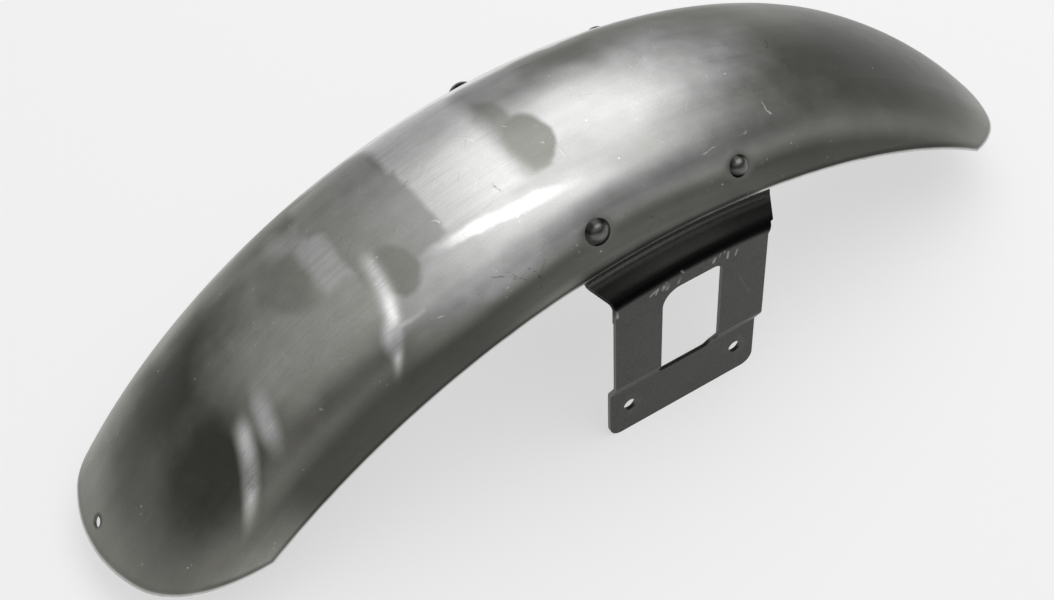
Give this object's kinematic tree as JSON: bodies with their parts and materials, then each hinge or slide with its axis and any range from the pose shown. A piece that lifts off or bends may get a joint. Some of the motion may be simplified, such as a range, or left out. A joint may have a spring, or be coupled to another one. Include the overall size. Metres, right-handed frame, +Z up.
{
  "type": "motorcycle front fender",
  "caption": "Arched sheet-steel fender for a motorcycle's front wheel, with a flared, joggled and windowed fork bracket riveted inside each skirt.",
  "frame": {"origin": "on the fender's centre plane, halfway along its length, at the height of the brackets' lower edges", "axes": "+X forward along the motorcycle, +Y to the rider's left, +Z up; the wheel axle is at X 19 mm, Z -223 mm, parallel to Y"},
  "size_m": [0.5115, 0.1518, 0.1513],
  "materials": {
    "bare_steel": "bare drawn steel sheet, satin, with sanding marks and scratches",
    "dark_steel": "dark oiled steel, satin",
    "rivet_steel": "dark steel, smooth and fairly glossy"
  },
  "bodies": {
    "root": {"fender_shell": "bare_steel", "bracket_left": "dark_steel", "bracket_right": "dark_steel", "rivet_left_front": "rivet_steel", "rivet_left_rear": "rivet_steel", "rivet_right_front": "rivet_steel", "rivet_right_rear": "rivet_steel"}
  },
  "joints": []
}
